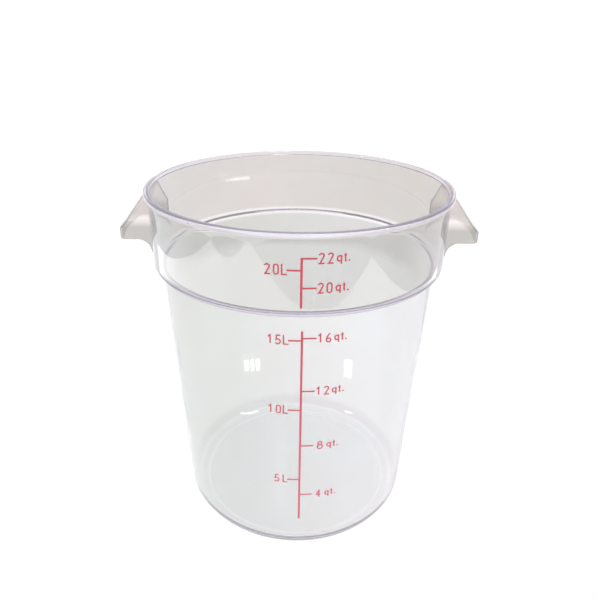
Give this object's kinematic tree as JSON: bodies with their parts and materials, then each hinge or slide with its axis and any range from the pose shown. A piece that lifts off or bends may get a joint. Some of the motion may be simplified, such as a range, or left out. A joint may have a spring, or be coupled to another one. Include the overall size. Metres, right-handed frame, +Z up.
{
  "type": "round food container",
  "caption": "Clear round tub with a wider stepped collar, a beaded rim, a hollow ear handle on each side and a printed volume scale on the front.",
  "frame": {"origin": "centre of the foot ring, on the surface the container stands on", "axes": "+Z up along the tub's axis, +X towards the right handle, -Y towards the front with the printed scales"},
  "size_m": [0.376, 0.322, 0.376],
  "materials": {
    "clear_plastic": "clear moulded polycarbonate, smooth",
    "red_ink": "screen-printed ink"
  },
  "bodies": {
    "root": {"tub": "clear_plastic", "handle_left": "clear_plastic", "handle_right": "clear_plastic", "scale_line_upper": "red_ink", "scale_line_lower": "red_ink", "mark_22qt": "red_ink", "mark_20qt": "red_ink", "mark_16qt": "red_ink", "mark_12qt": "red_ink", "mark_8qt": "red_ink", "mark_4qt": "red_ink", "mark_20l": "red_ink", "mark_15l": "red_ink", "mark_10l": "red_ink", "mark_5l": "red_ink"}
  },
  "joints": []
}
